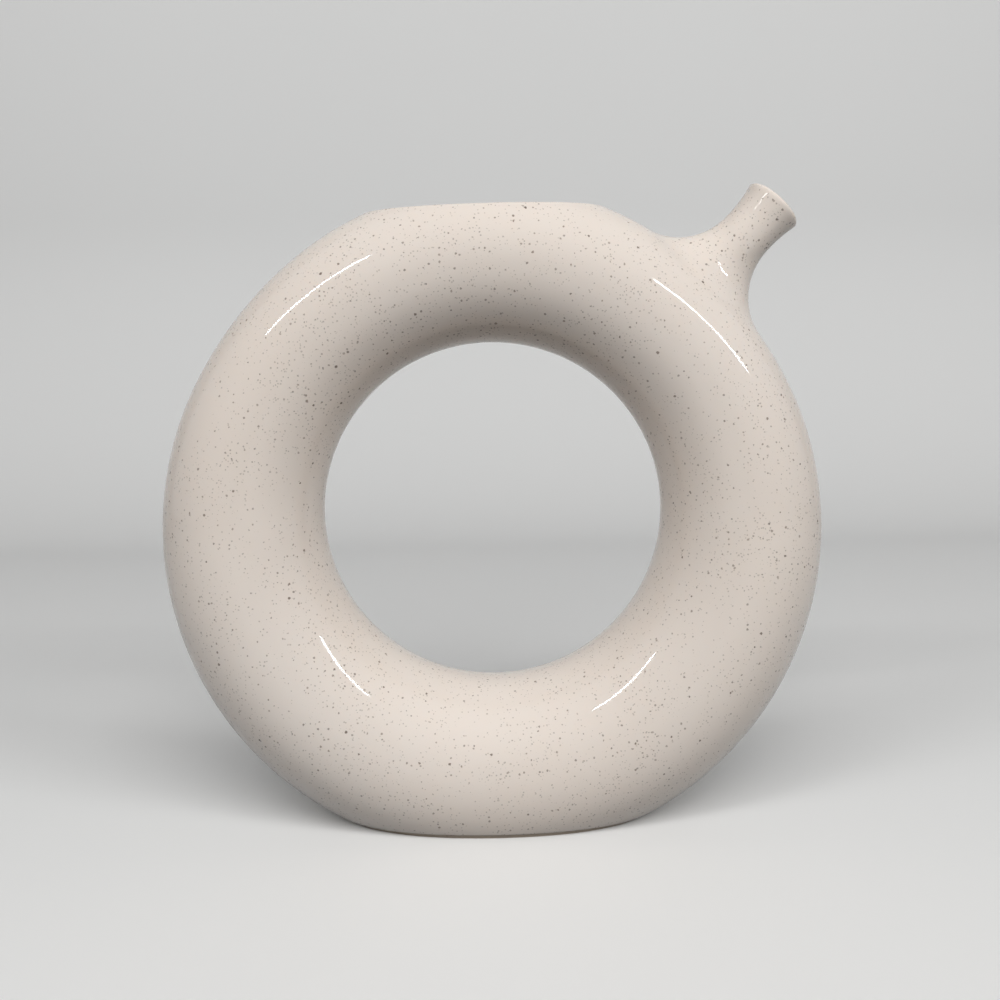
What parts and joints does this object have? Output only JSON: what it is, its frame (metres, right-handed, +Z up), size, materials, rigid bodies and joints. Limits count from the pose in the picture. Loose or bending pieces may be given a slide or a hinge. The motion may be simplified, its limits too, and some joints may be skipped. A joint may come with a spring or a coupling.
{
  "type": "donut vase",
  "caption": "Ring-shaped speckled stoneware vase on a flat foot, with a flat-cut open mouth along its top and a slim flared spout for a single stem.",
  "frame": {"origin": "middle of the flat foot, where it rests on the table", "axes": "+X along the ring towards the spout's side, +Y from front to back through the hole, +Z up"},
  "size_m": [0.24, 0.0664, 0.2287],
  "materials": {
    "clay": "matte",
    "slip": "matte",
    "speckled_glaze": "gloss",
    "clear_glaze": "gloss"
  },
  "bodies": {
    "root": {"front_half_shell": "clay", "rear_half_shell": "clay", "spout": "clay", "spout_joint_slip": "slip", "hole_seam_slip": "slip", "outer_seam_slip": "slip", "shoulder_seam_slip": "slip", "outer_glaze": "speckled_glaze", "liner_glaze": "clear_glaze"}
  },
  "joints": []
}
